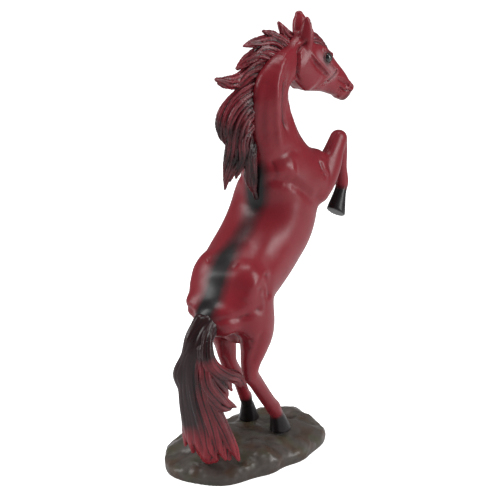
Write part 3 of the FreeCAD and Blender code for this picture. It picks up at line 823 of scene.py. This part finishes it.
stripe = fading(away_from(skin_places, spine), 1.3, 9.5)
black_hoofs = np.zeros(len(skin_places))
for side, hind_reach in black_reaches.items():
    for rows, leg_rows, reach in ((hind_hoof_rows[side], hind_rows[side], hind_reach),
                                  (fore_hoof_rows[side], cannon_rows[side], fore_black_reach)):
        gap = np.linalg.norm(skin_places - rows[2][:3], axis=1)
        beside = away_from(skin_places, [row[:3] for row in [*leg_rows[-4:], rows[2]]])
        blown = np.clip((reach - gap) / hoof_fade + 0.6, 0, 1.2) * np.clip(most_beside - beside, 0, 1)
        black_hoofs = np.maximum(black_hoofs, blown)
# A painted highlight in greyish pink along the cheeks below the eyes.
bloom = np.zeros(len(skin_places))
shade = fading(away_from(skin_places, [on_head(2, 0, 10), on_head(26, 0, 9)]), 1, 8, 0.55)
muzzle = fading(away_from(skin_places, [on_head(57, 0, 2), on_head(58, 0, -4)]), 1, 7, 0.45)
shade = np.maximum(shade, muzzle)
for turn in (-1, 1):
    under_eye = [on_head(9, turn * 10, -4.5), on_head(20, turn * 10, -4.5), on_head(31, turn * 8, -4)]
    bloom = np.maximum(bloom, fading(away_from(skin_places, under_eye), 1.2, 5))
    # Painted shade round each eye socket, laid into the black mask.
    socket = on_head(eye_socket[0], turn * eye_socket[1], eye_socket[2])
    shade = np.maximum(shade, fading(np.linalg.norm(skin_places - socket, axis=1), 1.2, 5.5, 0.6))

# Paint blown on from an airbrush: its edge fades out in fine specks.
airbrush, given, result = group("airbrushed edge", {"Cover": 0.0}, ["Cover"])
fine = sums(airbrush, "MULTIPLY", grain(airbrush, 1400.0, 1.0), 0.3)
cloud = sums(airbrush, "MULTIPLY", grain(airbrush, 90.0), 0.2)
specked = sums(airbrush, "ADD", given["Cover"], sums(airbrush, "ADD", fine, cloud))
spray = sums(airbrush, "SUBTRACT", specked, 0.25)
airbrush.links.new(sums(airbrush, "MULTIPLY", spray, 1.34), result["Cover"])

red = Paint("red resin paint")
wiped = red.shared(wash, Hollow=red.mask("hollow"), Reach=0.68)
coat = red.ground(22.0, coat_dark, coat_light)
# The greyish pink below the eyes is a painted highlight.
coat = red.over(coat, red.mask("bloom"), 0.7, highlight_pink)
coat = red.over(coat, wiped["Worn"], 0.35, worn_red)
coat = red.over(coat, wiped["Dark"], 0.9, fold_red)
# The black mask carries the airbrushed black and also the painted shade round the eyes.
blown = red.shared(airbrush, Cover=red.mask("black"))["Cover"]
coat = red.over(coat, blown, 0.99, black_and_eye_shade)
red_paint = red.finish(coat, gloss=0.27, unevenness=0.2, relief=0.12)
# The black mask holds the stripe, the hooves, the darker forehead and muzzle, and the painted shade round the
# eyes.
skin = cast("horse_skin", skin_places, skin_faces, red_paint, "red_paint",
            hollow=hollows_of(skin_places, skin_faces),
            black=np.maximum(np.maximum(stripe, shade), black_hoofs), bloom=bloom)
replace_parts(skin, "body", "neck", "head", "right_hind_leg", "left_hind_leg", "right_foreleg", "left_foreleg")


# The mane is four castings of overlapping locks, glued along the crest from the poll to the withers. They are
# resin like the horse, carved with strands, painted a deep red, washed over with black, and darkened with
# black overspray low on the neck.
hair_grid = 0.7
hair_steps = 5
mane_strands = {"strands": 7, "strand_share": 0.34, "twist": 1.2, "seam": 0.6}
mane_locks = {
    "crest_tufts": [
        [(51.4, -5, 294, 5, 4.5), (42.0, -2, 303.6, 3.8, 3.5), (35.6, 0, 312.2, 1.2, 1.2)],
        [(40.8, -4, 294, 5, 5), (29.8, 0, 303.4, 3.6, 3.5), (20.6, 3, 308.4, 1.0, 1.0)],
        [(37.9, -4, 293, 5, 5), (25.4, 1, 300, 4.4, 4), (12.3, 4, 301.4, 3.3, 3),
         (1.9, 6, 300.7, 1.0, 1.0)],
        [(31, -4, 291, 5, 5), (17.9, 2, 294.7, 4.7, 4), (8.2, 5, 291.4, 4, 3.6), (0, 8, 286.6, 1.6, 1.6)],
        [(22, -2, 291, 4, 4), (11, 4, 292.6, 3.8, 3.6), (5.5, 8, 289.6, 3, 2.8), (0, 10, 285.5, 1.4, 1.4)],
    ],
    "middle_mane": [
        [(24, -2, 288, 5, 4), (11.1, 4, 285.4, 4.7, 4), (0.1, 8, 280, 3.4, 3),
         (-11.3, 10, 279, 3.0, 2.6), (-22.4, 12, 281.4, 1.4, 1.2)],
        [(20, -1, 285, 5, 4), (8, 5, 281, 4.7, 4), (-3, 9, 277, 3.4, 3), (-12.4, 11, 276.2, 2.4, 2.2),
         (-20, 12, 278.4, 0.9, 0.9)],
        [(16, 0, 283, 5, 4), (5.2, 5, 279.5, 4.7, 4), (-3.3, 9, 275.4, 3.4, 3), (-11.5, 11, 275, 1.3, 1.2)],
        [(11, 1, 275, 5, 4), (0.2, 5, 270.3, 4.7, 4), (-7.6, 9, 264.6, 4.2, 3.8),
         (-14.8, 12, 255.6, 4.2, 3.6), (-14.8, 13, 245.1, 3.6, 3), (-8.8, 12, 234.0, 1.3, 1.2)],
    ],
    "hanging_mane": [
        [(7, 1, 269, 5, 4), (-6.1, 4, 263.2, 4.2, 4), (-12.1, 8, 255.0, 4.2, 4),
         (-14.0, 10, 246.3, 3.5, 3), (-9.0, 11, 236.2, 2.9, 2.6), (-8.8, 12, 225.7, 1.0, 1.0)],
        [(4, 1, 263, 5, 4), (-5.2, 3, 257.1, 4.2, 4), (-8.8, 6, 247.2, 4.2, 4), (-9.2, 8, 236.8, 4, 4),
         (-9.4, 10, 226.1, 4.2, 3.6), (-11.2, 11, 216, 3.2, 2.8), (-12.8, 12, 204.6, 0.8, 0.8)],
        [(1, 1, 256, 4, 4), (-5.5, 2, 248.4, 4.2, 4), (-6.2, 4, 238.0, 4.2, 4),
         (-5.6, 6, 227.2, 3.6, 3), (-7.6, 8, 218.3, 2.8, 2.4), (-11.0, 9, 210.5, 0.8, 0.8)],
        [(0, 1, 247, 4, 4), (-6.2, 1, 239.2, 3.6, 3.5), (-5.6, 2, 229.8, 3.6, 3.5),
         (-5.0, 4, 221.1, 2.8, 2.5), (-6.7, 7, 211.9, 0.8, 0.8)],
    ],
    "withers_lock": [
        [(0, 1, 239, 3, 3), (-2.8, -1, 231.7, 2.8, 2.6), (-2.5, 0, 223.2, 2.5, 2.4),
         (0, 1, 213.9, 2.2, 2), (3.5, 0, 204.4, 1.8, 1.7), (7, 0, 194.7, 0.8, 0.8)],
        [(3, 0, 233, 3, 3), (0.3, -2, 226.5, 2.8, 2.6), (1.2, -2, 218.3, 2.6, 2.4),
         (3.4, -1, 210.0, 2.4, 2.2), (5, 0, 202.7, 2.0, 1.9), (8, -1, 195.3, 0.8, 0.8)],
        [(-1, 1, 228.6, 2.7, 2.5), (-1, 1, 219.1, 2.4, 2.2), (0, 2, 209.8, 2.0, 2),
         (3, 1, 201.7, 0.8, 0.8)],
    ],
}
hair_dark, hair_light = (0.12, 0.008, 0.014), (0.23, 0.016, 0.026)
worn_hair, hair_black = (0.26, 0.055, 0.068), (0.006, 0.0045, 0.005)
bright_hair, hair_overspray = (0.32, 0.016, 0.027), (0.0075, 0.006, 0.007)
hair = Paint("dark washed hair")
wiped = hair.shared(wash, Hollow=hair.mask("hollow"), Reach=0.56)
strand = hair.ground(60.0, hair_dark, hair_light)
strand = hair.over(strand, wiped["Worn"], 0.5, worn_hair)
strand = hair.over(strand, wiped["Dark"], 0.85, hair_black)
strand = hair.over(strand, hair.mask("bright"), 0.62, bright_hair)
blown = hair.shared(airbrush, Cover=hair.mask("black"))["Cover"]
strand = hair.over(strand, blown, 0.9, hair_overspray)
hair_paint = hair.finish(strand, gloss=0.24, unevenness=0.25, relief=0.3)


def press_locks(clay, locks, strands, strand_share, twist, seam):
    """Locks of hair pressed on one after another, with so many strands wound along each."""
    for rows in locks:
        clay.press(Limb(rows, hair_steps, strands=strands, strand_share=strand_share, twist=twist), seam)


def carved(name, clay, black):
    """A casting of hair, whose black paint is a share worked out from its places."""
    places, faces = modelled(clay, hair_grid, rounds=1)
    hollow = hollows_of(places, faces)
    return cast("carved_" + name, places, faces, hair_paint, "dark_hair_paint", hollow=hollow,
                black=np.clip(black(places), 0, 1),
                bright=rising(places[:, 2], 46, -14) * np.clip(2.4 - 3 * hollow, 0, 1))


def mane_black(places):
    """Black overspray in soft patches, thickest low on the neck."""
    return 0.9 * mottle(places, 16, 21) - 0.3 + rising(places[:, 2], 275, -70, most=0.42)


for name, locks in mane_locks.items():
    clay = Clay()
    press_locks(clay, locks, **mane_strands)
    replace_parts(carved(name, clay, mane_black), name)


# The tail is one long switch of locks with three hooked locks glued on at its right. It is resin on a bent
# wire that comes out of the rump, and its end rests on the rock as a third foot. It carries the mane's paint.
plain_strands = {"strands": 4, "strand_share": 0.12, "twist": 1.6, "seam": 0.9}
curl_strands = {"strands": 5, "strand_share": 0.26, "twist": 1.6, "seam": 0.6}
plain_tail_locks = 4
tail_locks = {
    "tail": [
        [(-42, -2, 121.5, 7, 7), (-54, -1, 120, 7.4, 7.4), (-60, 2, 107, 7.6, 7.6),
         (-60, 6, 85.5, 7.4, 8), (-55.5, 7.5, 62, 7.6, 8.4), (-50, 8, 42, 7, 9),
         (-45.5, 6.5, 25, 6, 8.5), (-43.5, 5, 19, 5, 8)],
        [(-57, 3, 125.5, 4.4, 4.4), (-63.2, 5.4, 114.5, 4.6, 4.6), (-65, 8, 102, 4.1, 4.1),
         (-66.4, 13.3, 88.5, 4.5, 4.5), (-61.4, 13.4, 75.4, 4.2, 4.2), (-58.2, 14.4, 61.6, 4.2, 4.2),
         (-55, 16, 47.5, 3.8, 3.8), (-52, 18.8, 35, 3, 3), (-50.5, 21, 26.5, 1.0, 1.0)],
        [(-55, 0, 124.5, 4.4, 4.4), (-62.6, 3, 110.4, 4.8, 4.8), (-65.6, 7.8, 97.7, 4.4, 4.4),
         (-63.4, 11, 79.5, 4.6, 4.6), (-60, 13, 62.8, 4.6, 4.6), (-55.8, 13.5, 46.4, 4.6, 4.6),
         (-51.6, 14.2, 33, 4, 4), (-49, 15.5, 22.5, 1.4, 1.4)],
        [(-54, -1.5, 125, 4.6, 4.6), (-62, 1.8, 110.2, 5, 5), (-64.6, 6, 95.5, 5, 5),
         (-62.2, 8, 77.3, 5.2, 5.2), (-57.7, 9, 59.1, 5.2, 5.2), (-53.6, 9, 42.8, 5, 5),
         (-50.4, 8, 31, 4.4, 4.4), (-47.6, 6.6, 21.5, 1.5, 1.5)],
        [(-54, -3.2, 122.5, 4.4, 4.4), (-60.6, 0, 107.9, 4.8, 4.8), (-63.2, 3, 92, 5, 5),
         (-60.9, 4, 74.9, 5.2, 5.2), (-56.5, 4, 58.4, 5.2, 5.2), (-51.6, 3, 43.5, 5, 5),
         (-48.6, 0.8, 31, 4.4, 4.4), (-46, -1.6, 21, 1.5, 1.5)],
        [(-59, -3, 110.2, 3.6, 3.6), (-62.6, -1.5, 100.4, 4.2, 4.2), (-62.6, -1, 87.2, 4.6, 4.6),
         (-59.8, -1, 72.8, 4.8, 4.8), (-55.8, -2, 58.9, 4.8, 4.8), (-50, -3, 44.3, 4.6, 4.6),
         (-45.6, -4.8, 31, 4, 4), (-42.6, -7.4, 20.5, 1.5, 1.5)],
        [(-61, -4, 102, 3.2, 3.2), (-63.4, -5, 90.7, 4.2, 4.2), (-59.4, -5.5, 75.9, 4.6, 4.6),
         (-54.2, -6, 62.3, 4.6, 4.6), (-47.8, -7, 48.7, 4.6, 4.6), (-42.4, -9.5, 36, 4, 4),
         (-39, -12.6, 26.5, 3, 3), (-37.6, -15, 19.6, 1.2, 1.2)],
        [(-46, -3, 50, 4, 4), (-42, -4, 38, 4.6, 4.6), (-40, -6, 27, 4, 4), (-40, -9, 20, 1.6, 1.6)],
    ],
    "tail_upper_curl": [
        [(-55, -4, 123, 3.4, 3.4), (-63, -7, 115.8, 3.6, 3.6), (-66.4, -10, 105.6, 4, 4),
         (-62.4, -12, 96.4, 4.4, 4.4), (-52.6, -14, 88.6, 4.4, 4.2), (-39.6, -15.5, 82.6, 3.6, 3.2),
         (-30, -17, 71.4, 0.8, 0.8)],
        [(-59, -5, 117.5, 3.2, 3.2), (-65.6, -8, 108, 3.8, 3.8), (-65.6, -10.5, 99, 4, 4),
         (-57.4, -13, 89.6, 4, 3.8), (-45.9, -14.5, 84.1, 3.2, 3), (-36, -16, 74.5, 0.8, 0.8)],
    ],
    "tail_middle_curl": [
        [(-64.5, -6, 111, 3, 3), (-64.4, -9, 100.5, 3.8, 3.8), (-58.4, -12, 91.1, 3.8, 3.8),
         (-50.2, -13.6, 82.3, 3, 3), (-44.9, -14.2, 74.6, 1, 1)],
        [(-63, -6, 103, 3, 3), (-62.5, -9.5, 92, 3.6, 3.6), (-57, -12, 83, 3.4, 3.4),
         (-51, -13, 75, 2.4, 2.4), (-49, -13, 69, 0.8, 0.8)],
    ],
    "tail_lower_curl": [
        [(-65, -4, 109, 3.2, 3.2), (-66, -7, 97.5, 4.2, 4.2), (-65, -9, 85.8, 4.8, 4.6),
         (-58.6, -11.4, 75.3, 4.6, 4.4), (-50, -13, 67.3, 3.2, 3), (-39.8, -14.4, 60.2, 0.8, 0.8)],
        [(-62.5, -6, 84, 3, 3), (-60, -9, 73.5, 3.8, 3.8), (-54, -11, 65.5, 3.2, 3.2),
         (-46.5, -12.5, 61, 1.8, 1.8), (-41.5, -13, 62, 0.7, 0.7)],
    ],
}


def tail_black(places):
    """Black on the tail's left locks, fading towards its foot and its right locks."""
    x, y, z = places.T
    left = np.maximum(rising(y, -3, 8), rising(z, 98, 12)) * rising(z, 36, 18)
    return (0.9 * mottle(places, 16, 23) - 0.3) * rising(z, 24, 20) + left


for name, locks in tail_locks.items():
    clay = Clay()
    plain = plain_tail_locks if name == "tail" else 0
    press_locks(clay, locks[:plain], **plain_strands)
    press_locks(clay, locks[plain:], **curl_strands)
    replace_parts(carved(name, clay, tail_black), name)


# The forelock is a small casting of three locks, glued on the brow between the ears. It lies forward over
# the forehead, and is carved and painted like the mane.
forelock_locks = [
    [(50.4, -8, 301, 4, 4.5), (59, -11, 301, 3.4, 4), (67.5, -14, 295, 2.8, 3),
     (76, -17.5, 286.5, 0.8, 0.8)],
    [(52, -12, 299, 3.4, 3), (59, -15, 298, 3.0, 3), (66, -17.5, 291.5, 2.2, 2.2),
     (71, -19.5, 284.5, 0.8, 0.8)],
    [(54, -5, 300, 3.4, 3), (62, -8, 299.5, 3.0, 3), (70, -11, 292, 2.2, 2.2),
     (77, -13.5, 283.5, 0.8, 0.8)],
]
forelock = Clay()
press_locks(forelock, forelock_locks, **mane_strands)
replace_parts(carved("forelock", forelock, mane_black), "forelock")


# The eyes are glossy black beads, pressed into round sockets in the head. The rods in the hind legs and
# the tail, and the dowels in the neck and the forelegs, are drawn steel wire that the resin hides. All of
# them keep the solids' own shapes and get a paint of their own.
bead_dark, bead_light = (0.003, 0.003, 0.003), (0.009, 0.007, 0.007)
steel_dark, steel_light = (0.42, 0.41, 0.40), (0.58, 0.57, 0.55)
bead = Paint("black bead")
bead_black = bead.ground(500.0, bead_dark, bead_light)
bead_paint = bead.finish(bead_black, gloss=0.05, unevenness=0.08, relief=0.05, coat=0.8)
wire = Paint("drawn steel wire")
steel = wire.finish(wire.ground(700.0, steel_dark, steel_light), gloss=0.25, unevenness=0.3, relief=0.2)
wire.shader.inputs["Metallic"].default_value = 1.0
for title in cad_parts:
    solid = bpy.data.objects.get(title)
    if solid and solid.type == "MESH" and ("eye" in title or "rod" in title or "dowel" in title):
        for slot in solid.material_slots:
            slot.material = bead_paint if "eye" in title else steel


# The statuette stands on a pale, dull floor that the camera sees as plain white. Three soft lights hang at
# its left, right and top as the camera sees it, and the camera stands behind the horse's right side.
floor_half_size = 8.0
floor_colour = (0.85, 0.85, 0.86, 1)
white = (1, 1, 1, 1)
air_strength = 0.18
target = Vector((0, 0, 0.160))
away, lift = math.radians(57), math.radians(18)
camera_distance, lens, sensor_width = 0.96, 100, 36
corner_ways = ((-1, -1), (1, -1), (1, 1), (-1, 1))
floor_corners = [(x * floor_half_size, y * floor_half_size, 0) for x, y in corner_ways]
floor_mesh = bpy.data.meshes.new("floor")
floor_mesh.from_pydata(floor_corners, [], [(0, 1, 2, 3)])
floor = bpy.data.objects.new("floor", floor_mesh)
bpy.context.collection.objects.link(floor)
floor_paint = bpy.data.materials.new("pale floor")
floor_paint.use_nodes = True
tree = floor_paint.node_tree
shader = tree.nodes["Principled BSDF"]
shader.inputs["Base Color"].default_value = floor_colour
shader.inputs["Roughness"].default_value = 0.9
shader.inputs["Specular IOR Level"].default_value = 0.1
rays = tree.nodes.new("ShaderNodeLightPath")
shader.inputs["Emission Color"].default_value = white
tree.links.new(rays.outputs["Is Camera Ray"], shader.inputs["Emission Strength"])
floor_mesh.materials.append(floor_paint)

world = bpy.data.worlds.new("studio air")
bpy.context.scene.world = world
world.use_nodes = True
air = world.node_tree.nodes["Background"]
air.inputs["Color"].default_value = white
air.inputs["Strength"].default_value = air_strength


def soft_light(name, back, right, up, size, power):
    """A soft light beside the camera's line, so far back, to the right and up from the statuette."""
    place = target - look * back + rightward * right + upward * up
    lamp = bpy.data.lights.new(name, "AREA")
    lamp.shape = "RECTANGLE"
    lamp.size, lamp.size_y = size
    lamp.energy = power
    holder = bpy.data.objects.new(name, lamp)
    holder.location = place
    holder.rotation_euler = (target - place).to_track_quat("-Z", "Y").to_euler()
    bpy.context.collection.objects.link(holder)


look = Vector((math.sin(away) * math.cos(lift), math.cos(away) * math.cos(lift), -math.sin(lift)))
rightward = Vector((math.cos(away), -math.sin(away), 0))
upward = rightward.cross(look)
soft_light("left softbox", 0.35, -1.2, 0.5, (0.4, 1.1), 11)
soft_light("right softbox", 0.45, 1.1, 0.35, (0.3, 1.1), 11)
soft_light("top softbox", 0.3, 0, 1.3, (1.0, 0.4), 9)

view = bpy.data.cameras.new("camera")
view.lens, view.sensor_width = lens, sensor_width
view.clip_end = 30
eye = bpy.data.objects.new("camera", view)
eye.location = target - look * camera_distance
eye.rotation_euler = look.to_track_quat("-Z", "Y").to_euler()
bpy.context.collection.objects.link(eye)
bpy.context.scene.camera = eye
bpy.context.scene.view_settings.view_transform = "Standard"
